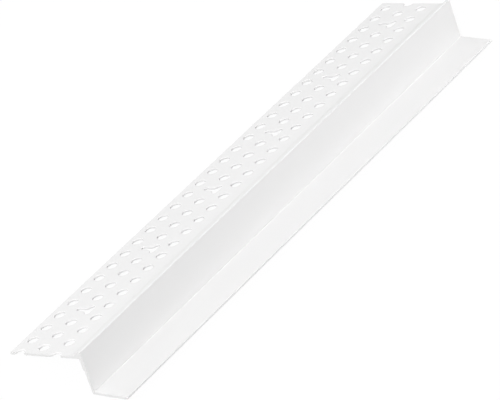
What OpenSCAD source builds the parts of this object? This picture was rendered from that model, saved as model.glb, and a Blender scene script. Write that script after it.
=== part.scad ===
// Shadow gap edge profile: one length of extruded plastic bead that finishes a
// plasterboard edge and leaves a recessed gap against the next surface.
// The section is a stepped Z. The perforated flange lies on the face of the board,
// the web covers the board's edge, and the foot runs on into the gap behind.
// A nib along the fold stops the filling compound that covers the flange.
// The section is drawn upright, with the flange level, and is then leaned over to
// the pose in which a loose length rests on a level floor.
// Origin: on the floor, under the middle of the resting length.
// +Y runs along the length, +X goes across from the flange to the foot, +Z is up.

/* [Stock] */
// Length of the cut piece
stock_length = 219.6; // [40:0.1:600]

/* [Section] */
// Depth of board held between the flange and the heel below the web
board_depth = 12.5; // [6:0.5:30]
// Thickness of the flange, the web and the foot
wall = 0.8; // [0.5:0.05:2]
// Width of the flange, from its free edge to the face of the web
flange_width = 28.1; // [22:0.1:60]
// Reach of the foot along its own slope, from the face of the web to its free edge
foot_reach = 12.2; // [4:0.1:40]
// Droop of the foot, in degrees past square to the web
foot_droop = 5; // [0:0.5:12]
// Thickness of the stiffened top of the web
stiff_wall = 1.2; // [0.8:0.05:3]
// Height of the stiffened top of the web, under the flange
stiff_height = 4; // [1:0.1:5]

/* [Nib] */
// Height of the nib above the face of the flange
nib_height = 1.6; // [0.8:0.1:4]
// Width of the crest of the nib
nib_crest = 1.1; // [0.9:0.1:2]
// Radius on the outer edge of the crest
crest_radius = 0.25; // [0.05:0.05:0.5]
// Run of the hollow ramp that the filling compound is smoothed up to
ramp_run = 3.3; // [2:0.1:5]

/* [Edges] */
// Radius on the outside corners of the flange, the heel and the foot
edge_radius = 0.2; // [0.05:0.05:0.24]

/* [Perforation] */
// Distance between the round holes of one row
hole_pitch = 7.2; // [5.6:0.1:15]
// Diameter of a round hole
hole_d = 3.5; // [1.5:0.1:4.5]
// Distance from the flange's free edge to the first row
edge_to_row = 3.7; // [2.6:0.1:6]
// Distance between neighbouring rows
row_gap = 7.2; // [6.4:0.1:8]
// Holes of the middle row from one keyhole to the next
keyhole_every = 5; // [2:1:12]
// Number of the middle row's hole that is the first keyhole, counted from zero
keyhole_first = 3; // [0:1:4]

/* [Keyhole] */
// Width of the head, along the stock
head_width = 4.8; // [4:0.1:5.4]
// Height of the head, across the flange
head_height = 1.9; // [1:0.1:2.4]
// Width of the stem that points to the flange's free edge
stem_width = 1.5; // [0.8:0.1:2]
// Height of the whole keyhole, across the flange
keyhole_height = 6; // [5:0.1:6.4]
// Radius of the throats between the stem and the head
throat_radius = 1.6; // [0.8:0.1:2]

/* [Hidden] */
$fn = 96;
// A cut reaches past the solid by this much on each side
over = 1;
white = [0.93, 0.93, 0.92];

// Section coordinates: x across and y up, from the heel on the web's back face
flange_free = wall - flange_width;
flange_top = board_depth + wall;
foot_length = wall + foot_reach;
nib_top = flange_top + nib_height;
nib_back = wall - nib_crest;
// Radius of the hollow ramp, which leaves the flange level and ends at the crest
ramp_radius = (pow(ramp_run, 2) + pow(nib_height, 2)) / (2 * nib_height);

// A loose length rests on the flange's free edge and on the heel, both rounded alike,
// so the lean is that of the line through the centres of those two arcs
heel_y = arc_height(edge_radius, foot_droop);
lean = atan((board_depth + edge_radius - heel_y) / (flange_width - wall));
// Shift along Z that sets the rounded heel on the floor
heel_drop = edge_radius - edge_radius * sin(lean) - heel_y * cos(lean);
// Reach of the leaned section each way from that corner
reach_out = (flange_free + edge_radius) * cos(lean) - (flange_top - edge_radius) * sin(lean)
    - edge_radius;
foot_slope = lean - foot_droop;
reach_in = (foot_length - edge_radius) * cos(foot_slope) - edge_radius * sin(foot_slope)
    + edge_radius;

// Rows of the perforation: distance from the flange's free edge
row_a = edge_to_row;
row_b = edge_to_row + row_gap;
row_c = edge_to_row + 2 * row_gap;
// The middle row is set half a pitch along from its neighbours
stagger = hole_pitch / 2;

// Height of the centre of an arc that touches an upright line and a line that falls
// away from its foot by some degrees
function arc_height(r, fall) = r * (1 - sin(fall)) / cos(fall);

// Cutter for the space between those two lines and the arc, with the corner at the origin.
// It reaches past both lines, so that it leaves no sliver on them.
module corner(r, fall = 0) {
    centre = [r, arc_height(r, fall)];
    past = centre - (r + over) * [sin(fall), cos(fall)];
    difference() {
        polygon([centre, [-over, centre.y], [-over, past.y], past]);
        translate(centre) circle(r);
    }
}

// Square corner at a point, opening towards sx and sy
module corner_at(x, y, sx, sy, r) {
    translate([x, y]) mirror([sx < 0 ? 1 : 0, 0]) mirror([0, sy < 0 ? 1 : 0]) corner(r);
}

// Flange with its free edge rounded
module flange_section() {
    difference() {
        translate([flange_free, board_depth]) square([flange_width, wall]);
        corner_at(flange_free, board_depth, 1, 1, edge_radius);
        corner_at(flange_free, flange_top, 1, -1, edge_radius);
    }
}

// Nib: its crest, and the hollow ramp that leads up to it from the flange
module nib_section() {
    foot_of_ramp = nib_back - ramp_run;
    difference() {
        translate([foot_of_ramp, board_depth]) square([wall - foot_of_ramp, nib_top - board_depth]);
        translate([foot_of_ramp, flange_top + ramp_radius]) circle(ramp_radius, $fn = 180);
        corner_at(wall, nib_top, -1, -1, crest_radius);
    }
}

// Web, with a stiffened top whose lower end runs out in a short slope
module web_section() {
    step = stiff_wall - wall;
    stiff_foot = board_depth - stiff_height;
    polygon([
        [0, 0], [wall, 0], [wall, flange_top],
        [-step, flange_top], [-step, stiff_foot], [0, stiff_foot - step]
    ]);
}

// Foot, which droops from the heel, with its free edge rounded
module foot_section() {
    rotate(-foot_droop) difference() {
        square([foot_length, wall]);
        corner_at(foot_length, 0, -1, 1, edge_radius);
        corner_at(foot_length, wall, -1, -1, edge_radius);
    }
}

// Whole section
module section() {
    flange_section();
    nib_section();
    difference() {
        union() {
            web_section();
            foot_section();
        }
        corner(edge_radius, foot_droop);
    }
}

// Outline of one keyhole, with x towards the web: a slot-shaped head, a stem that points
// to the flange's free edge, and a round throat on each side that runs smoothly into both
module keyhole_outline() {
    head_r = head_height / 2;
    stem_r = stem_width / 2;
    // Centre of the head's rounded end
    lobe = [keyhole_height / 2 - head_r, head_width / 2 - head_r];
    // Centre of the throat's arc, which touches the stem's side and the head's rounded end
    throat_y = stem_r + throat_radius;
    throat = [lobe.x - sqrt(pow(throat_radius + head_r, 2) - pow(throat_y - lobe.y, 2)), throat_y];
    meeting = throat + (lobe - throat) * throat_radius / (throat_radius + head_r);
    stem_end = keyhole_height / 2 - stem_r;
    translate([lobe.x - head_r, -lobe.y]) square([head_height, 2 * lobe.y]);
    translate([-stem_end, -stem_r]) square([stem_end + lobe.x, stem_width]);
    translate([-stem_end, 0]) circle(stem_r);
    for (side = [0, 1]) mirror([0, side]) {
        translate(lobe) circle(head_r);
        difference() {
            polygon([[throat.x, 0], [throat.x, stem_r], meeting, lobe, [lobe.x, 0]]);
            translate(throat) circle(throat_radius);
        }
    }
}

// Cutters for one row of the perforation, at a distance from the flange's free edge
module row_cutters(from_edge, start, keyed) {
    // The small extra keeps a hole that falls right on the far cut
    last = floor((stock_length - start) / hole_pitch + 0.001);
    for (i = [0 : last]) {
        is_key = keyed && i >= keyhole_first && (i - keyhole_first) % keyhole_every == 0;
        along = start + i * hole_pitch - stock_length / 2;
        translate([flange_free + from_edge, along, board_depth - over])
            linear_extrude(wall + 2 * over)
                if (is_key) keyhole_outline(); else circle(d = hole_d);
    }
}

// The upright profile, centred along its length
module upright_profile() {
    difference() {
        translate([0, stock_length / 2, 0]) rotate([90, 0, 0]) linear_extrude(stock_length) section();
        row_cutters(row_a, 0, false);
        row_cutters(row_b, stagger, true);
        row_cutters(row_c, 0, false);
    }
}

// The profile as it lies on the floor
module edge_profile() {
    color(white) translate([-(reach_out + reach_in) / 2, 0, heel_drop]) rotate([0, -lean, 0])
        upright_profile();
}

edge_profile();
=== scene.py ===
"""Looks of a shadow gap edge profile, one length of white extruded vinyl edge bead.

The profile is one piece, so it is one mesh. Its shape is worked out in the upright
section, in millimetres: x goes across from the free edge of the flange to the foot, y runs
along the stock, and z goes up. The finished points are leaned over to the resting pose.
"""

import logging
import math
from dataclasses import dataclass, field
from enum import Enum

import bmesh
import bpy
import numpy as np
from mathutils import Matrix, Vector


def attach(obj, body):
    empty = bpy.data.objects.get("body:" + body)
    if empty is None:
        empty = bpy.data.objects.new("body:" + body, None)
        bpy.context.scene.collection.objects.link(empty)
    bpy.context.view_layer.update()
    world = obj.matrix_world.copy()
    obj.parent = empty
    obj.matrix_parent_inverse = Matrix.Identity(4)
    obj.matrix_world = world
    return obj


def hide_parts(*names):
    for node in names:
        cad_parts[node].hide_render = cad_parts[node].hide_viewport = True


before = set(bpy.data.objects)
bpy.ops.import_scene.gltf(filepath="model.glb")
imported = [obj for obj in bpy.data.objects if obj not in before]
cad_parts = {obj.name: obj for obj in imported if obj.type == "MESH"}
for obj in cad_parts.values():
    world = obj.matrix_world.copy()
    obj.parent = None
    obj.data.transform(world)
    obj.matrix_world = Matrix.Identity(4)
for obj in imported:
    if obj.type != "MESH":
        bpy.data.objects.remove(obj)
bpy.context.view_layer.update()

MM = 0.001
VINYL_IOR = 1.53
WHITE = (1.0, 1.0, 1.0, 1.0)
LOG = logging.getLogger("edge_profile")


class Finish(Enum):
    """Which finish a face has, as the index of its material."""

    SKIN = 0
    CUT = 1


@dataclass(frozen=True)
class Stock:
    """Sizes of the stock, in millimetres and degrees, as the CAD part has them.

    Args:
        length: Length between the two cuts.
        board_depth: Height of the flange's lower face above the heel.
        wall: Thickness of the flange, the web and the foot.
        flange_width: Width from the flange's free edge to the face of the web.
        foot_reach: Reach of the foot along its own slope, from the face of the web.
        foot_droop: Droop of the foot past square to the web.
        stiff_wall: Thickness of the web's stiffened top.
        stiff_height: Height of that top, under the flange.
        nib_height: Height of the nib above the flange's face.
        nib_crest: Width of the nib's crest.
        crest_radius: Radius on the outer edge of the crest.
        ramp_run: Run of the hollow ramp up to the nib.
        edge_radius: Radius on the outside corners of the flange, the heel and the foot.
        small_radius: Radius on the small corners, which the CAD part leaves plain.
    """

    length: float = 219.6
    board_depth: float = 12.5
    wall: float = 0.8
    flange_width: float = 28.1
    foot_reach: float = 12.2
    foot_droop: float = 5.0
    stiff_wall: float = 1.2
    stiff_height: float = 4.0
    nib_height: float = 1.6
    nib_crest: float = 1.1
    crest_radius: float = 0.25
    ramp_run: float = 3.3
    edge_radius: float = 0.2
    small_radius: float = 0.08

    @property
    def free_edge(self) -> float:
        """Place of the flange's free edge across the section."""
        return self.wall - self.flange_width

    @property
    def flange_top(self) -> float:
        """Height of the flange's face."""
        return self.board_depth + self.wall

    @property
    def lower_girth(self) -> float:
        """Where the pattern on the flange's lower face starts, well past the upper one's."""
        return 4 * self.flange_width

    @property
    def droop(self) -> float:
        """Droop of the foot, in radians."""
        return math.radians(self.foot_droop)


@dataclass(frozen=True)
class Perforation:
    """Sizes of the hole pattern, in millimetres.

    Args:
        pitch: Distance between the holes of one row.
        hole_radius: Radius of a round hole.
        edge_to_row: Distance from the flange's free edge to the first row.
        row_gap: Distance between neighbouring rows.
        keyhole_every: Holes of the middle row from one keyhole to the next.
        keyhole_first: Number of the first keyhole in that row, counted from zero.
        head_width: Width of a keyhole's head, along the stock.
        head_height: Height of the head, across the flange.
        stem_width: Width of the stem, which points to the free edge.
        keyhole_height: Height of the whole keyhole, across the flange.
        throat_radius: Radius of the throats between the stem and the head.
        roll_in: Radius to which the punch has rolled in the upper edge of a hole.
        ring_reach: Reach of the flat ring round that edge, in such radii.
        flare_height: Height of the flare at the lower edge, where the punch broke out.
        flare_width: Width of the flare.
        steps: Faces along half a side of a tile. A half outline has four times as many.
        keyhole_steps: Faces along a keyhole's half outline: the head's long side, its
            rounded end, the throat, the stem's side and the stem's end.
        roll_steps: Faces over the rolled edge.
    """

    pitch: float = 7.2
    hole_radius: float = 1.75
    edge_to_row: float = 3.7
    row_gap: float = 7.2
    keyhole_every: int = 5
    keyhole_first: int = 3
    head_width: float = 4.8
    head_height: float = 1.9
    stem_width: float = 1.5
    keyhole_height: float = 6.0
    throat_radius: float = 1.6
    roll_in: float = 0.15
    ring_reach: float = 2.2
    flare_height: float = 0.16
    flare_width: float = 0.45
    steps: int = 6
    keyhole_steps: tuple[int, int, int, int, int] = (3, 8, 5, 3, 5)
    roll_steps: int = 4


@dataclass(frozen=True)
class Surface:
    """A set of points with the faces between them.

    Args:
        points: (n, 3) places in the upright section, in millimetres.
        girth: (n, 2) pattern coordinates: distance round the section, and along the stock.
        quads: (m, 4) corners of the faces. A triangle repeats its last corner.
    """

    points: np.ndarray
    girth: np.ndarray
    quads: np.ndarray


def arc(
    centre: tuple[float, float], radius: float, start: float, end: float, count: int
) -> np.ndarray:
    """Points on an arc: centre + radius (cos a, sin a), for even steps of a.

    Args:
        centre: Middle of the arc.
        radius: Its radius.
        start: First angle, in radians.
        end: Last angle, in radians.
        count: Number of steps.

    Returns:
        (count + 1, 2) points.
    """
    a = np.linspace(start, end, count + 1)
    return np.stack([centre[0] + radius * np.cos(a), centre[1] + radius * np.sin(a)], axis=-1)


def line(start: tuple[float, float], end: tuple[float, float], count: int) -> np.ndarray:
    """Points on a straight line: start + t (end - start), for even steps of t.

    Args:
        start: First point.
        end: Last point.
        count: Number of steps.

    Returns:
        (count + 1, 2) points.
    """
    t = np.linspace(0, 1, count + 1)[:, None]
    return np.asarray(start) * (1 - t) + np.asarray(end) * t


def chain(*stretches: np.ndarray) -> np.ndarray:
    """Joins stretches that follow each other, and drops the points that they share.

    Args:
        stretches: (n, 2) arrays, each starting where the one before it ends.

    Returns:
        (m, 2) points of the whole run.
    """
    return np.concatenate([stretches[0]] + [s[1:] for s in stretches[1:]])


def rounded(
    corners: list[tuple[float, float, float]], step: float = math.radians(12)
) -> np.ndarray:
    """A run of straight lines whose corners are arcs that touch both lines.

    An arc of radius r at a corner that turns by an angle t starts r tan(t / 2) before the
    corner, and its centre lies off the first line by r, towards the second.

    Args:
        corners: x, y and radius of each corner. The first and last have no arc, and a
            radius of zero leaves a plain corner.
        step: Largest turn between two points of an arc, in radians.

    Returns:
        (n, 2) points of the run.
    """
    places = np.array([c[:2] for c in corners])
    run = [places[:1]]
    for before, here, after, (_, _, radius) in zip(places, places[1:], places[2:], corners[1:]):
        if radius == 0:
            run.append(here[None])
            continue
        into = (here - before) / np.linalg.norm(here - before)
        out = (after - here) / np.linalg.norm(after - here)
        turn = math.atan2(into[0] * out[1] - into[1] * out[0], float(into @ out))
        side = math.copysign(1, turn)
        normal = side * np.array([-into[1], into[0]])
        centre = here - into * radius * math.tan(abs(turn) / 2) + normal * radius
        first = math.atan2(-normal[1], -normal[0])
        run.append(arc(centre, radius, first, first + turn, max(2, math.ceil(abs(turn) / step))))
    run.append(places[-1:])
    return np.concatenate(run)


def grid_quads(rows: int, columns: int) -> np.ndarray:
    """Corners of the faces of a grid of points, row by row.

    Args:
        rows: Number of rows of points.
        columns: Number of points in a row.

    Returns:
        (m, 4) indices into the flattened grid.
    """
    i, j = np.meshgrid(np.arange(rows - 1), np.arange(columns - 1), indexing="ij")
    first = i * columns + j
    corners = [first, first + 1, first + columns + 1, first + columns]
    return np.stack(corners, axis=-1).reshape(-1, 4)


def lengths(points: np.ndarray) -> np.ndarray:
    """Distance from the first point to each point of a run, along the run."""
    return np.concatenate([[0], np.cumsum(np.linalg.norm(np.diff(points, axis=0), axis=1))])


@dataclass(frozen=True)
class PerforatedFlange:
    """The flange: an array of half tiles, each with one half of a hole in its middle.

    A half tile is a grid. One way it follows the half outline of the hole, and the other way
    it goes from the tile's rim on the upper face over the rolled edge, down the wall of the
    hole and out to the rim on the lower face.

    Args:
        stock: Sizes of the section.
        holes: Sizes of the pattern.
    """

    stock: Stock
    holes: Perforation

    @property
    def rows(self) -> tuple[float, float, float]:
        """Place of each row of holes across the section."""
        first = self.stock.free_edge + self.holes.edge_to_row
        return first, first + self.holes.row_gap, first + 2 * self.holes.row_gap

    @property
    def inner_edge(self) -> float:
        """Place across the section where the last row's tiles end."""
        return self.rows[2] + self.holes.row_gap / 2

    def tile_rim(self, towards_edge: float, towards_web: float) -> np.ndarray:
        """Half of a tile's rim, from the middle of its web side round to its other side.

        Args:
            towards_edge: Distance from the hole's middle to the side near the free edge.
            towards_web: Distance from the hole's middle to the side near the web.

        Returns:
            (4 steps + 1, 2) points.
        """
        half, steps = self.holes.pitch / 2, self.holes.steps
        return chain(
            line((towards_web, 0), (towards_web, half), steps),
            line((towards_web, half), (-towards_edge, half), 2 * steps),
            line((-towards_edge, half), (-towards_edge, 0), steps),
        )

    def round_outline(self) -> tuple[np.ndarray, np.ndarray]:
        """Half outline of a round hole, r (cos a, sin a), with its outward normals."""
        normals = arc((0, 0), 1, 0, math.pi, 4 * self.holes.steps)
        return self.holes.hole_radius * normals, normals

    def keyhole_outline(self) -> tuple[np.ndarray, np.ndarray]:
        """Half outline of a keyhole with its outward normals.

        The head's rounded end, the throat and the stem's end are arcs. The throat's arc
        touches the stem's side and the head's end: its centre is the throat's radius plus
        the head's away from the head's centre, and the throat's radius off the stem's side.

        Returns:
            Two (n, 2) arrays with as many points as a round hole's.
        """
        h = self.holes
        front_count, lobe_count, throat_count, side_count, tip_count = h.keyhole_steps
        head, stem, throat = h.head_height / 2, h.stem_width / 2, h.throat_radius
        lobe = np.array([h.keyhole_height / 2 - head, h.head_width / 2 - head])
        off = stem + throat
        hollow = np.array([lobe[0] - math.sqrt((throat + head) ** 2 - (off - lobe[1]) ** 2), off])
        meet = math.atan2(*(hollow - lobe)[::-1])
        stem_end = -(h.keyhole_height / 2 - stem)
        front = line((lobe[0] + head, 0), (lobe[0] + head, lobe[1]), front_count)
        around = arc(lobe, head, 0, meet, lobe_count)
        inside = arc(hollow, throat, meet - math.pi, -math.pi / 2, throat_count)
        side = line((hollow[0], stem), (stem_end, stem), side_count)
        tip = arc((stem_end, 0), stem, math.pi / 2, math.pi, tip_count)
        normals = np.concatenate([
            np.tile((1.0, 0.0), (front_count, 1)),
            (around - lobe) / head,
            (hollow - inside[1:]) / throat,
            np.tile((0.0, 1.0), (side_count, 1)),
            (tip[1:] - (stem_end, 0)) / stem,
        ])
        return chain(front, around, inside, side, tip), normals

    def wall_profile(self) -> np.ndarray:
        """Cut through the edge of a hole, from the upper face to the lower one.

        The punch enters from above and rolls the edge in, so the upper edge is an arc of
        the roll-in radius. It breaks out below, so the lower edge is flared.

        Returns:
            (n, 2) points as distance from the outline and height.
        """
        h, top, low = self.holes, self.stock.flange_top, self.stock.board_depth
        ring = (h.ring_reach * h.roll_in, top)
        roll = arc((h.roll_in, top - h.roll_in), h.roll_in, math.pi / 2, math.pi, h.roll_steps)
        return np.concatenate([[ring], roll, [(0, low + h.flare_height), (h.flare_width, low)]])

    def half_tile(self, rim: np.ndarray, outline: np.ndarray, normals: np.ndarray) -> np.ndarray:
        """Grid of one half tile about the hole's middle.

        A point is outline + distance * normal, at a height, and the first and last points of
        each row lie on the tile's rim.

        Args:
            rim: (n, 2) half rim.
            outline: (n, 2) half outline of the hole.
            normals: (n, 2) outward normals of the outline.

        Returns:
            (n, k, 3) points.
        """
        profile = self.wall_profile()
        flat = outline[:, None, :] + normals[:, None, :] * profile[None, :, :1]
        height = np.broadcast_to(profile[None, :, 1:], flat.shape[:2] + (1,))
        ring = np.concatenate([flat, height], axis=-1)
        ring[0, :, 1] = ring[-1, :, 1] = 0
        upper = np.concatenate([rim, np.full((len(rim), 1), self.stock.flange_top)], axis=1)
        lower = np.concatenate([rim, np.full((len(rim), 1), self.stock.board_depth)], axis=1)
        return np.concatenate([upper[:, None], ring, lower[:, None]], axis=1)

    def place_halves(
        self, tile: np.ndarray, across: float, middles: np.ndarray, side: int
    ) -> Surface:
        """Repeats a half tile at several holes.

        A point is the tile's own, with its y times the side, plus the hole's middle.

        Args:
            tile: (n, k, 3) half tile about its hole's middle.
            across: Place of the row across the section.
            middles: Places of the holes' middles along the stock.
            side: 1 for the half beyond the middle, and -1 for its mirror image before it.

        Returns:
            The surface of all these halves.
        """
        count, depth = tile.shape[:2]
        points = tile[None] * (1, side, 1) + (across, 0, 0)
        points = np.repeat(points, len(middles), axis=0)
        points[..., 1] += middles[:, None, None]
        quads = grid_quads(count, depth)[:, ::side]
        starts = np.arange(len(middles))[:, None, None] * count * depth
        points = points.reshape(-1, 3)
        return Surface(points, self.girth(points), (quads[None] + starts).reshape(-1, 4))

    def girth(self, points: np.ndarray) -> np.ndarray:
        """Pattern coordinates on the flange: across, with the lower face set aside."""
        middle = (self.stock.flange_top + self.stock.board_depth) / 2
        lower = -points[:, 0] + self.stock.lower_girth
        across = np.where(points[:, 2] > middle, points[:, 0], lower)
        return np.stack([across, points[:, 1]], axis=-1)

    def build(self) -> list[Surface]:
        """Builds the three rows of tiles. A hole at a cut has only its half inside the stock.

        Returns:
            The surfaces of the perforated part of the flange.
        """
        pitch, half_gap = self.holes.pitch, self.holes.row_gap / 2
        margin = pitch / 4
        to_edge = self.holes.edge_to_row - self.stock.edge_radius
        round_hole, keyhole = self.round_outline(), self.keyhole_outline()
        surfaces = []
        for row, across in enumerate(self.rows):
            staggered = row == 1
            middles = np.arange(0, self.stock.length + margin, pitch) + staggered * pitch / 2
            number = np.arange(len(middles)) - self.holes.keyhole_first
            keyed = staggered & (number >= 0) & (number % self.holes.keyhole_every == 0)
            rim = self.tile_rim(to_edge if row == 0 else half_gap, half_gap)
            for outline, chosen in ((round_hole, ~keyed), (keyhole, keyed)):
                tile = self.half_tile(rim, *outline)
                beyond = middles[chosen & (middles < self.stock.length - margin)]
                before = middles[chosen & (middles > margin)]
                surfaces += [
                    self.place_halves(tile, across, places, side)
                    for places, side in ((beyond, 1), (before, -1)) if len(places)
                ]
        return surfaces


@dataclass(frozen=True)
class ExtrudedSection:
    """The rest of the section, carried along the stock: free edge, nib, web and foot.

    Args:
        stock: Sizes of the section.
        holes: Sizes of the pattern, for the steps along the stock.
        inner_edge: Place across the section where the perforated part ends.
        strip_width: Width of the strips that join that part to the rest of the section.
        ramp_steps: Faces over the hollow ramp.
    """

    stock: Stock
    holes: Perforation
    inner_edge: float
    strip_width: float = 0.6
    ramp_steps: int = 16

    def free_edge_profile(self) -> np.ndarray:
        """Profile of the free edge, from the lower face round to the upper one."""
        s = self.stock
        left, low, top, r = s.free_edge, s.board_depth, s.flange_top, s.edge_radius
        return rounded([(left + r, low, 0), (left, low, r), (left, top, r), (left + r, top, 0)])

    def main_profile(self) -> np.ndarray:
        """Profile from the upper face over the nib and round the web and foot.

        The ramp is an arc that leaves the flange level. Its radius is
        (run^2 + height^2) / (2 height), so that it ends at the crest. The inner fold of web
        and foot lies where the web's face meets the foot's upper face.

        Returns:
            (n, 2) points, ending on the flange's lower face.
        """
        s = self.stock
        top, crest = s.flange_top, s.flange_top + s.nib_height
        back = s.wall - s.nib_crest
        step = s.stiff_wall - s.wall
        radius = (s.ramp_run ** 2 + s.nib_height ** 2) / (2 * s.nib_height)
        start, sweep = -math.pi / 2, math.asin(s.ramp_run / radius)
        middle = (back - s.ramp_run, top + radius)
        ramp = arc(middle, radius, start, sweep + start, self.ramp_steps)
        along = np.array([math.cos(s.droop), -math.sin(s.droop)])
        up = np.array([math.sin(s.droop), math.cos(s.droop)])
        tip = (s.wall + s.foot_reach) * along
        fold = s.wall / math.cos(s.droop) - s.wall * math.tan(s.droop)
        soft = s.small_radius
        rest = rounded([
            (*ramp[-2], 0),
            (back, crest, soft),
            (s.wall, crest, s.crest_radius),
            (s.wall, fold, 0),
            (*(tip + s.wall * up), s.edge_radius),
            (*tip, s.edge_radius),
            (0, 0, s.edge_radius),
            (0, s.board_depth - s.stiff_height - step, soft),
            (-step, s.board_depth - s.stiff_height, soft),
            (-step, s.board_depth, soft),
            (self.inner_edge, s.board_depth, 0),
        ])
        return np.concatenate([[(self.inner_edge, top)], ramp[:-1], rest[1:]])

    def carry(self, profile: np.ndarray, step: float, start: float) -> Surface:
        """Carries a profile along the stock.

        A point is the profile's own across and up, at even steps of y from cut to cut.

        Args:
            profile: (n, 2) points across and up.
            step: Length of one face.
            start: Girth of the profile's first point.

        Returns:
            The surface.
        """
        count = round(self.stock.length / step)
        along = np.linspace(0, self.stock.length, count + 1)
        grid = np.zeros((len(along), len(profile), 3))
        grid[..., 0], grid[..., 2] = profile[:, 0], profile[:, 1]
        grid[..., 1] = along[:, None]
        girth = np.zeros((len(along), len(profile), 2))
        girth[..., 0] = start + lengths(profile)
        girth[..., 1] = along[:, None]
        quads = grid_quads(len(along), len(profile))
        return Surface(grid.reshape(-1, 3), girth.reshape(-1, 2), quads)

    def strip(self, height: float, upper: bool) -> Surface:
        """Strip that joins the tiles' close points to the profile's wide steps.

        Each wide step is filled with triangles between the close points on one side and
        its two corners on the other: a fan from each corner, and one triangle between them.

        Args:
            height: Height of the strip.
            upper: True on the upper face, and False on the lower one.

        Returns:
            The surface.
        """
        steps, half = self.holes.steps, self.holes.pitch / 2
        count = round(self.stock.length / half)
        close = np.linspace(0, self.stock.length, count * steps + 1)
        wide = np.linspace(0, self.stock.length, count + 1)
        points = np.full((len(close) + len(wide), 3), height)
        points[:, 0] = self.inner_edge
        points[len(close):, 0] += self.strip_width
        points[:, 1] = np.concatenate([close, wide])
        first = np.arange(count)
        corner = len(close) + first
        middle = first * steps + steps // 2
        triangles = [np.stack([middle, corner, corner + 1], -1)]
        for k in range(steps):
            low = first * steps + k
            apex = corner if k < steps // 2 else corner + 1
            triangles.append(np.stack([low + 1, low, apex], -1))
        faces = np.concatenate(triangles)
        faces = faces if upper else faces[:, ::-1]
        across = points[:, 0] if upper else -points[:, 0] + self.stock.lower_girth
        girth = np.stack([across, points[:, 1]], -1)
        return Surface(points, girth, np.concatenate([faces, faces[:, 2:]], 1))

    def build(self) -> list[Surface]:
        """Builds the free edge, the joining strips and the main run of the section.

        Returns:
            The surfaces.
        """
        s, half = self.stock, self.holes.pitch / 2
        main = self.main_profile()
        main[[0, -1], 0] += self.strip_width
        return [
            self.carry(self.free_edge_profile(), half / self.holes.steps, s.free_edge),
            self.carry(main, half, main[0, 0]),
            self.strip(s.flange_top, True),
            self.strip(s.board_depth, False),
        ]


@dataclass(frozen=True)
class RestingPose:
    """The pose in which a loose length rests, on its free edge and its heel.

    Args:
        stock: Sizes of the section.
    """

    stock: Stock

    def lean(self) -> float:
        """Angle of the line through the centres of the two arcs that it rests on."""
        s = self.stock
        heel = s.edge_radius * (1 - math.sin(s.droop)) / math.cos(s.droop)
        return math.atan((s.board_depth + s.edge_radius - heel) / (s.flange_width - s.wall))

    def apply(self, points: np.ndarray) -> np.ndarray:
        """Leans the section over and sets it on the floor, centred on the origin.

        A point is turned about the length by the lean: x cos - z sin, y, x sin + z cos.

        Args:
            points: (n, 3) places in the upright section, in millimetres.

        Returns:
            (n, 3) places in the row's frame, in metres.
        """
        c, s = math.cos(self.lean()), math.sin(self.lean())
        turn = np.array([[c, 0, -s], [0, 1, 0], [s, 0, c]])
        laid = points @ turn.T
        low, high = laid.min(axis=0), laid.max(axis=0)
        return (laid - [(low[0] + high[0]) / 2, (low[1] + high[1]) / 2, low[2]]) * MM


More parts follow.
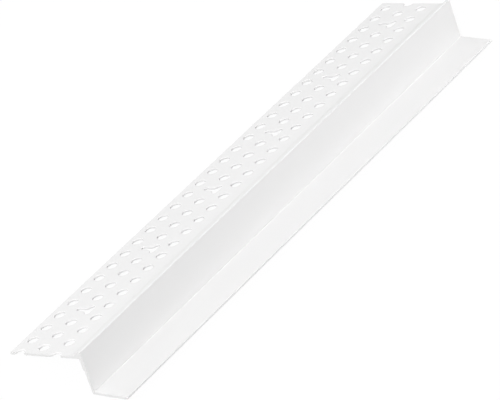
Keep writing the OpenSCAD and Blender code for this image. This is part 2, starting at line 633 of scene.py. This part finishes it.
@dataclass(frozen=True)
class EdgeProfile:
    """The whole length of stock, as one closed mesh.

    Args:
        stock: Sizes of the section.
        holes: Sizes of the pattern.
        name: Name of the piece.
        weld_grain: Size of the grid on which points are the same, in millimetres.
        grid_shift: Shift that keeps round sizes off the bounds between the grid's cells.
        sharp_angle: Least angle of an edge that stays sharp, in degrees.
    """

    stock: Stock = field(default_factory=Stock)
    holes: Perforation = field(default_factory=Perforation)
    name: str = "edge_profile_skin"
    weld_grain: float = 1e-4
    grid_shift: float = 3.7e-5
    sharp_angle: float = 35.0

    def weld(self, surfaces: list[Surface]) -> tuple[np.ndarray, np.ndarray, np.ndarray]:
        """Joins surfaces into one set of points.

        Args:
            surfaces: Surfaces whose rims have points in common.

        Returns:
            Points, corners of the faces, and pattern coordinates for each corner.
        """
        starts = np.cumsum([0] + [len(s.points) for s in surfaces[:-1]])
        points = np.concatenate([s.points for s in surfaces])
        girth = np.concatenate([s.girth for s in surfaces])
        quads = np.concatenate([s.quads + start for s, start in zip(surfaces, starts)])
        keys = np.round((points + self.grid_shift) / self.weld_grain).astype(np.int64)
        _, first, place = np.unique(keys, axis=0, return_index=True, return_inverse=True)
        return points[first], place.reshape(-1)[quads], girth[quads]

    def mesh(self, points: np.ndarray, quads: np.ndarray, girth: np.ndarray) -> bpy.types.Mesh:
        """Puts the welded arrays into a mesh.

        Args:
            points: (n, 3) places, in metres.
            quads: (m, 4) corners, with the last repeated in a triangle.
            girth: (m, 4, 2) pattern coordinates, in millimetres.

        Returns:
            The mesh, still open at its two cut ends.
        """
        kept = np.ones(quads.shape, bool)
        kept[:, 3] = quads[:, 3] != quads[:, 2]
        totals = kept.sum(axis=1)
        starts = np.concatenate([[0], np.cumsum(totals)[:-1]])
        mesh = bpy.data.meshes.new(self.name)
        mesh.vertices.add(len(points))
        mesh.vertices.foreach_set("co", points.astype(np.float32).ravel())
        mesh.loops.add(int(totals.sum()))
        mesh.loops.foreach_set("vertex_index", quads[kept].astype(np.int32))
        mesh.polygons.add(len(quads))
        mesh.polygons.foreach_set("loop_start", starts.astype(np.int32))
        mesh.update(calc_edges=True)
        layer = mesh.uv_layers.new(name="girth")
        layer.data.foreach_set("uv", (girth[kept] * MM).astype(np.float32).ravel())
        mesh.validate()
        return mesh

    def close_ends(self, mesh: bpy.types.Mesh) -> None:
        """Fills the cut ends: each loop of open edges gets a flat face, cut into triangles.

        Args:
            mesh: The mesh to close.
        """
        shell = bmesh.new()
        shell.from_mesh(mesh)
        rim = [e for e in shell.edges if e.is_boundary]
        filled = bmesh.ops.holes_fill(shell, edges=rim, sides=0)["faces"]
        for face in filled:
            face.material_index = Finish.CUT.value
        bmesh.ops.triangulate(shell, faces=filled)
        bmesh.ops.recalc_face_normals(shell, faces=shell.faces)
        for face in shell.faces:
            face.smooth = True
        shell.to_mesh(mesh)
        shell.free()

    def build(self) -> bpy.types.Object:
        """Builds the object, with its place in its mesh.

        Returns:
            The object, without materials.
        """
        flange = PerforatedFlange(self.stock, self.holes)
        surfaces = flange.build()
        surfaces += ExtrudedSection(self.stock, self.holes, flange.inner_edge).build()
        points, quads, girth = self.weld(surfaces)
        mesh = self.mesh(RestingPose(self.stock).apply(points), quads, girth)
        self.close_ends(mesh)
        mesh.set_sharp_from_angle(angle=math.radians(self.sharp_angle))
        piece = bpy.data.objects.new(self.name, mesh)
        bpy.context.scene.collection.objects.link(piece)
        weighted = piece.modifiers.new("weighted_normals", "WEIGHTED_NORMAL")
        weighted.keep_sharp = True
        return piece

    def dress(
        self, piece: bpy.types.Object, finishes: dict[Finish, bpy.types.Material]
    ) -> None:
        """Gives the piece its materials, in the order of their indices.

        Args:
            piece: The object.
            finishes: Material of each finish.
        """
        for finish in Finish:
            piece.data.materials.append(finishes[finish])


class Socket:
    """A value in a material's node tree, with arithmetic that adds Math nodes.

    Args:
        tree: The node tree.
        link: The output socket that carries the value.
    """

    def __init__(self, tree: "Tree", link: bpy.types.NodeSocket) -> None:
        """Keeps the tree and the output."""
        self.tree = tree
        self.link = link

    def _math(self, operation: str, *values: "Socket | float") -> "Socket":
        """Adds a Math node for some values."""
        return self.tree.add("ShaderNodeMath", {"operation": operation}, values)

    def __add__(self, other: "Socket | float") -> "Socket":
        """self + other."""
        return self._math("ADD", self, other)

    __radd__ = __add__

    def __mul__(self, other: "Socket | float") -> "Socket":
        """self * other."""
        return self._math("MULTIPLY", self, other)

    __rmul__ = __mul__

    def __sub__(self, other: "Socket | float") -> "Socket":
        """self - other."""
        return self._math("SUBTRACT", self, other)

    def __rsub__(self, other: float) -> "Socket":
        """other - self."""
        return self._math("SUBTRACT", other, self)


class Tree:
    """Node tree of a material or the world, with one method that adds any node.

    Args:
        owner: The material or world to build in.
    """

    def __init__(self, owner: bpy.types.Material | bpy.types.World) -> None:
        """Clears the owner's tree."""
        owner.use_nodes = True
        self.nodes = owner.node_tree.nodes
        self.links = owner.node_tree.links
        self.nodes.clear()

    def add(
        self,
        kind: str,
        settings: dict | None = None,
        values: dict | tuple | list = (),
        output: int | str = 0,
    ) -> Socket:
        """Adds a node, sets it up and links it.

        Args:
            kind: Type of the node.
            settings: Its properties.
            values: Numbers, colours or sockets for its inputs, in order or by name.
            output: Which of its outputs is wanted.

        Returns:
            That output.
        """
        node = self.nodes.new(kind)
        for name, value in (settings or {}).items():
            setattr(node, name, value)
        pairs = values.items() if isinstance(values, dict) else enumerate(values)
        for key, value in pairs:
            if isinstance(value, Socket):
                self.links.new(value.link, node.inputs[key])
            elif value is not None:
                node.inputs[key].default_value = value
        return Socket(self, node.outputs[output])

    def noise(self, place: Socket, scale: float, detail: float = 2.0) -> Socket:
        """Adds a noise from about 0 to 1.

        Args:
            place: Where it is read.
            scale: Number of its grains in a unit of length.
            detail: Number of finer layers in it.

        Returns:
            Its value.
        """
        settings = {"noise_dimensions": "3D", "normalize": True}
        values = {"Vector": place, "Scale": scale, "Detail": detail}
        return self.add("ShaderNodeTexNoise", settings, values)

    def stretched(self, place: Socket, scale: tuple[float, float, float]) -> Socket:
        """Adds a Mapping node that scales a place along its three directions."""
        return self.add("ShaderNodeMapping", {}, {"Vector": place, "Scale": scale})

    def shaded(self, colour: tuple[float, float, float], shade: Socket) -> Socket:
        """Adds a Vector Math node that multiplies a colour by a shade."""
        return self.add(
            "ShaderNodeVectorMath", {"operation": "SCALE"}, {0: colour, "Scale": shade}
        )

    def relief(self, height: Socket, depth: float) -> Socket:
        """Adds a Bump node for a height from 0 to 1 on a surface some metres deep."""
        return self.add("ShaderNodeBump", {}, {"Distance": depth, "Height": height})

    def seen_directly(self) -> Socket:
        """1 for rays from the camera, a reflection or clear material, and 0 for others."""
        rays = [
            self.add("ShaderNodeLightPath", {}, (), name)
            for name in ("Is Camera Ray", "Is Glossy Ray", "Is Transmission Ray")
        ]
        either = self.add("ShaderNodeMath", {"operation": "MAXIMUM"}, rays[:2])
        return self.add("ShaderNodeMath", {"operation": "MAXIMUM"}, (either, rays[2]))

    def output(self, shader: Socket, kind: str = "ShaderNodeOutputMaterial") -> None:
        """Sends a shader to the tree's output."""
        self.links.new(shader.link, self.nodes.new(kind).inputs["Surface"])

    def surface(self, values: dict) -> None:
        """Adds a Principled shader with some inputs, and sends it to the output."""
        self.output(self.add("ShaderNodeBsdfPrincipled", {}, values))


@dataclass(frozen=True)
class ExtrudedSkin:
    """Satin white vinyl as it leaves the die.

    Faint lines run along the stock where the die has marked it, so they vary round the
    section and hardly at all along it. A weak mottle keeps large faces from looking dead.

    Args:
        colour: Its colour.
        roughness: Its mean roughness.
        gloss: Specular level, where 0.5 is that of bare vinyl.
        shade_swing: Share by which the shade varies.
        rough_swing: How far the roughness varies.
        line_depth: Depth of the die's lines, in metres.
        along_stretch: Scale of the lines along the stock, where 1 is that across them.
        streaks_per_metre: Scale of the broad streaks.
        lines_per_metre: Scale of the fine lines.
        mottles_per_metre: Scale of the mottle.
    """

    colour: tuple[float, float, float] = (0.782, 0.780, 0.780)
    roughness: float = 0.42
    gloss: float = 0.25
    shade_swing: float = 0.012
    rough_swing: float = 0.10
    line_depth: float = 3e-6
    along_stretch: float = 0.012
    streaks_per_metre: float = 420.0
    lines_per_metre: float = 5200.0
    mottles_per_metre: float = 38.0

    def build(self) -> bpy.types.Material:
        """Builds the material from the piece's girth map.

        Returns:
            The material.
        """
        material = bpy.data.materials.new("extruded_skin")
        tree = Tree(material)
        girth = tree.add("ShaderNodeUVMap", {"uv_map": "girth"})
        drawn = tree.stretched(girth, (1.0, self.along_stretch, 1.0))
        streak = tree.noise(drawn, self.streaks_per_metre)
        fine = tree.noise(drawn, self.lines_per_metre)
        place = tree.add("ShaderNodeTexCoord", {}, (), "Object")
        mottle = tree.noise(place, self.mottles_per_metre)
        shade = 1.0 + (streak + mottle - 1.0) * self.shade_swing
        tree.surface({
            "Base Color": tree.shaded(self.colour, shade),
            "Roughness": self.roughness + (streak + fine - 1.0) * self.rough_swing,
            "IOR": VINYL_IOR,
            "Specular IOR Level": self.gloss,
            "Normal": tree.relief(streak + fine, self.line_depth),
        })
        return material


@dataclass(frozen=True)
class CutFace:
    """Vinyl where the saw has cut it: duller, with strokes across the wall. Its colour is darker
    than the skin's, partly as sawn vinyl is duller and partly as painted shade for the
    micro-shadows in the saw marks.

    Args:
        colour: Its colour, darker than the skin's: partly duller sawn vinyl, partly painted
            shade.
        roughness: Its mean roughness.
        shade_swing: Share by which the shade varies.
        rough_swing: How far the roughness varies.
        stroke_depth: Depth of the strokes, in metres.
        strokes_per_metre: Scale of the strokes.
        stroke_stretch: Scale of the strokes along themselves, where 1 is that across them.
    """

    # Darker than the skin: partly the duller sawn vinyl, partly painted shade for the
    # micro-shadows in the saw marks.
    colour: tuple[float, float, float] = (0.685, 0.685, 0.683)
    roughness: float = 0.58
    shade_swing: float = 0.03
    rough_swing: float = 0.16
    stroke_depth: float = 9e-6
    strokes_per_metre: float = 3600.0
    stroke_stretch: float = 0.15

    def build(self, lean: float) -> bpy.types.Material:
        """Builds the material, with its strokes square to the flange.

        Args:
            lean: Angle by which the section leans, in radians.

        Returns:
            The material.
        """
        material = bpy.data.materials.new("cut_face")
        tree = Tree(material)
        place = tree.add("ShaderNodeTexCoord", {}, (), "Object")
        turn = {"Vector": place, "Rotation": (0.0, lean, 0.0)}
        upright = tree.add("ShaderNodeMapping", {}, turn)
        struck = tree.stretched(upright, (1.0, 1.0, self.stroke_stretch))
        stroke = tree.noise(struck, self.strokes_per_metre)
        shade = 1.0 + (stroke - 0.5) * self.shade_swing
        tree.surface({
            "Base Color": tree.shaded(self.colour, shade),
            "Roughness": self.roughness + (stroke - 0.5) * self.rough_swing,
            "IOR": VINYL_IOR,
            "Normal": tree.relief(stroke, self.stroke_depth),
        })
        return material


@dataclass(frozen=True)
class StudioFloor:
    """Pale paper floor, which shows white to the camera and keeps a faint shadow.

    To the camera and in reflections it is mostly an even white. The rest of it, and all of
    what lights the object from below, is a matte grey.

    Args:
        half_width: Half of its width, in metres.
        albedo: Share of the light that the grey gives back.
        even_share: Share of the even white in what the camera sees.
        even_glow: Strength of the even white.
    """

    half_width: float = 3.0
    albedo: float = 0.5
    even_share: float = 0.95
    even_glow: float = 1.03

    def build(self) -> bpy.types.Object:
        """Builds the floor, on which the object stands.

        Returns:
            The floor.
        """
        w = self.half_width
        mesh = bpy.data.meshes.new("floor")
        mesh.from_pydata([(-w, -w, 0), (w, -w, 0), (w, w, 0), (-w, w, 0)], [], [(0, 1, 2, 3)])
        material = bpy.data.materials.new("floor_paper")
        tree = Tree(material)
        seen = tree.seen_directly() * self.even_share
        grey = (self.albedo, self.albedo, self.albedo, 1.0)
        matte = tree.add("ShaderNodeBsdfDiffuse", {}, {"Color": grey})
        glow = {"Color": WHITE, "Strength": self.even_glow}
        even = tree.add("ShaderNodeEmission", {}, glow)
        tree.output(tree.add("ShaderNodeMixShader", {}, (seen, matte, even)))
        mesh.materials.append(material)
        floor = bpy.data.objects.new("floor", mesh)
        bpy.context.scene.collection.objects.link(floor)
        return floor


@dataclass(frozen=True)
class SoftLamp:
    """A round soft box.

    Args:
        name: Its name.
        place: Where it stands, in metres.
        width: Its diameter, in metres.
        power: Its power, in watts.
        aim: The point that it faces.
    """

    name: str
    place: tuple[float, float, float]
    width: float
    power: float
    aim: tuple[float, float, float] = (0.0, 0.0, 0.0)

    def build(self) -> bpy.types.Object:
        """Builds the lamp.

        Returns:
            The lamp.
        """
        light = bpy.data.lights.new(self.name, "AREA")
        light.shape = "DISK"
        light.size = self.width
        light.energy = self.power
        lamp = bpy.data.objects.new(self.name, light)
        bpy.context.scene.collection.objects.link(lamp)
        facing = (Vector(self.place) - Vector(self.aim)).to_track_quat("Z", "Y")
        lamp.matrix_world = Matrix.LocRotScale(Vector(self.place), facing, None)
        return lamp


@dataclass(frozen=True)
class Studio:
    """The room's even light, and the soft boxes.

    Args:
        room_light: Strength of the even light, where the camera sees plain white.
        lamps: The soft boxes.
    """

    room_light: float = 0.302
    lamps: tuple[SoftLamp, ...] = (
        SoftLamp("near_box", (0.0, -1.31, 0.92), 0.8, 18.8),
        SoftLamp("left_box", (-0.93, -0.93, 0.92), 0.8, 5.0),
        SoftLamp("low_box", (-1.545, 0.0, 0.415), 0.8, 4.3),
        SoftLamp("right_box", (1.545, 0.0, 0.415), 0.8, 1.6),
        SoftLamp("side_box", (0.30, 0.20, 0.40), 0.3, 1.37, (0.0, 0.06, 0.0)),
    )

    def build(self) -> None:
        """Builds the world and the lamps."""
        world = bpy.data.worlds.new("studio")
        bpy.context.scene.world = world
        tree = Tree(world)
        lit, white = (
            tree.add("ShaderNodeBackground", {}, {"Color": WHITE, "Strength": strength})
            for strength in (self.room_light, 1.0)
        )
        shown = tree.add("ShaderNodeMixShader", {}, (tree.seen_directly(), lit, white))
        tree.output(shown, "ShaderNodeOutputWorld")
        for lamp in self.lamps:
            lamp.build()


@dataclass(frozen=True)
class PhotoCamera:
    """The camera at the photograph's viewing angle.

    Args:
        aim: Point in the middle of the picture, in metres.
        azimuth: Direction in degrees, from -Y towards +X.
        elevation: Height above the floor's plane, in degrees.
        roll: Turn about the line of sight, in degrees.
        distance: Distance from the aim, in metres.
        focal_length: Focal length, in millimetres.
        sensor_width: Width of the sensor, in millimetres.
        nearest: Least distance that it shows, in metres.
        farthest: Greatest distance that it shows, in metres.
    """

    aim: tuple[float, float, float] = (-0.001071, -0.005778, 0.00136)
    azimuth: float = 29.214
    elevation: float = 39.724
    roll: float = 5.0
    distance: float = 1.3344
    focal_length: float = 302.24
    sensor_width: float = 36.0
    nearest: float = 0.05
    farthest: float = 20.0

    def build(self) -> bpy.types.Object:
        """Builds the camera and makes it the scene's own.

        Returns:
            The camera.
        """
        angles = (self.azimuth, self.elevation, self.roll)
        azimuth, elevation, roll = (math.radians(angle) for angle in angles)
        level = Vector((math.cos(azimuth), math.sin(azimuth), 0.0))
        back = Vector((
            math.cos(elevation) * math.sin(azimuth),
            -math.cos(elevation) * math.cos(azimuth),
            math.sin(elevation),
        ))
        upright = back.cross(level)
        right = level * math.cos(roll) + upright * math.sin(roll)
        up = upright * math.cos(roll) - level * math.sin(roll)
        turned = Matrix((right, up, back)).transposed().to_4x4()
        lens = bpy.data.cameras.new("camera")
        lens.sensor_width = self.sensor_width
        lens.lens = self.focal_length
        lens.clip_start = self.nearest
        lens.clip_end = self.farthest
        camera = bpy.data.objects.new("camera", lens)
        bpy.context.scene.collection.objects.link(camera)
        camera.matrix_world = Matrix.Translation(Vector(self.aim) + back * self.distance) @ turned
        bpy.context.scene.camera = camera
        return camera


def main() -> None:
    """Builds the piece, its finishes, the floor, the lights and the camera."""
    profile = EdgeProfile()
    piece = profile.build()
    lean = RestingPose(profile.stock).lean()
    skin, cut = ExtrudedSkin().build(), CutFace().build(lean)
    profile.dress(piece, {Finish.SKIN: skin, Finish.CUT: cut})
    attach(piece, "root")
    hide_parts("edge_profile")
    points = len(piece.data.vertices)
    triangles = sum(len(face.vertices) - 2 for face in piece.data.polygons)
    LOG.info("%s: %d points, %d triangles", piece.name, points, triangles)
    LOG.info("leaned by %.2f degrees", math.degrees(lean))
    floor = StudioFloor().build()
    studio = Studio()
    studio.build()
    camera = PhotoCamera().build()
    LOG.info("%s, %d soft boxes and %s", floor.name, len(studio.lamps), camera.name)
    bpy.context.scene.view_settings.view_transform = "Standard"
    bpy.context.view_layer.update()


if __name__ == "__main__":
    logging.basicConfig(level=logging.INFO, format="%(message)s")
    main()
